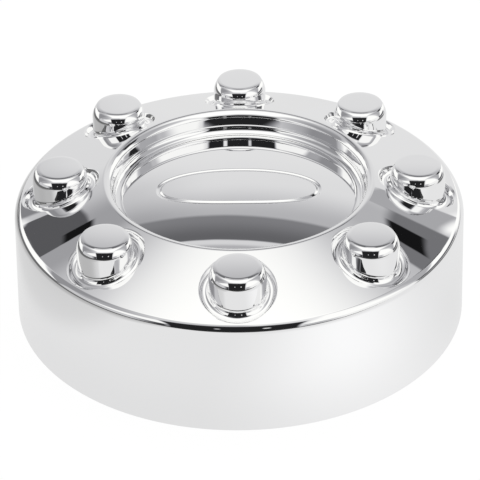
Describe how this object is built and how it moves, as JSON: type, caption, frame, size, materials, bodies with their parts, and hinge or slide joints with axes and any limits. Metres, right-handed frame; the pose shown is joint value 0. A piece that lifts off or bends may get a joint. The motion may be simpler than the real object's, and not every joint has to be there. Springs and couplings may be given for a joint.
{
  "type": "wheel center cap",
  "caption": "Chromed wheel centre cap: a tall round skirt, a sloping face ringed by lug covers in wells, and a domed dish with a blank oval.",
  "frame": {"origin": "on the cap's axis, in the plane of the skirt's lower edge, which it stands on", "axes": "+Z along the axis, out of the domed face; +X along the oval's long side and through one lug cover; +Y across the oval, away from the camera of the picture"},
  "size_m": [0.2172, 0.2172, 0.0733],
  "materials": {
    "chrome_plate": "mirror-bright decorative chrome on moulded plastic"
  },
  "bodies": {
    "root": {"center_cap": "chrome_plate"}
  },
  "joints": []
}
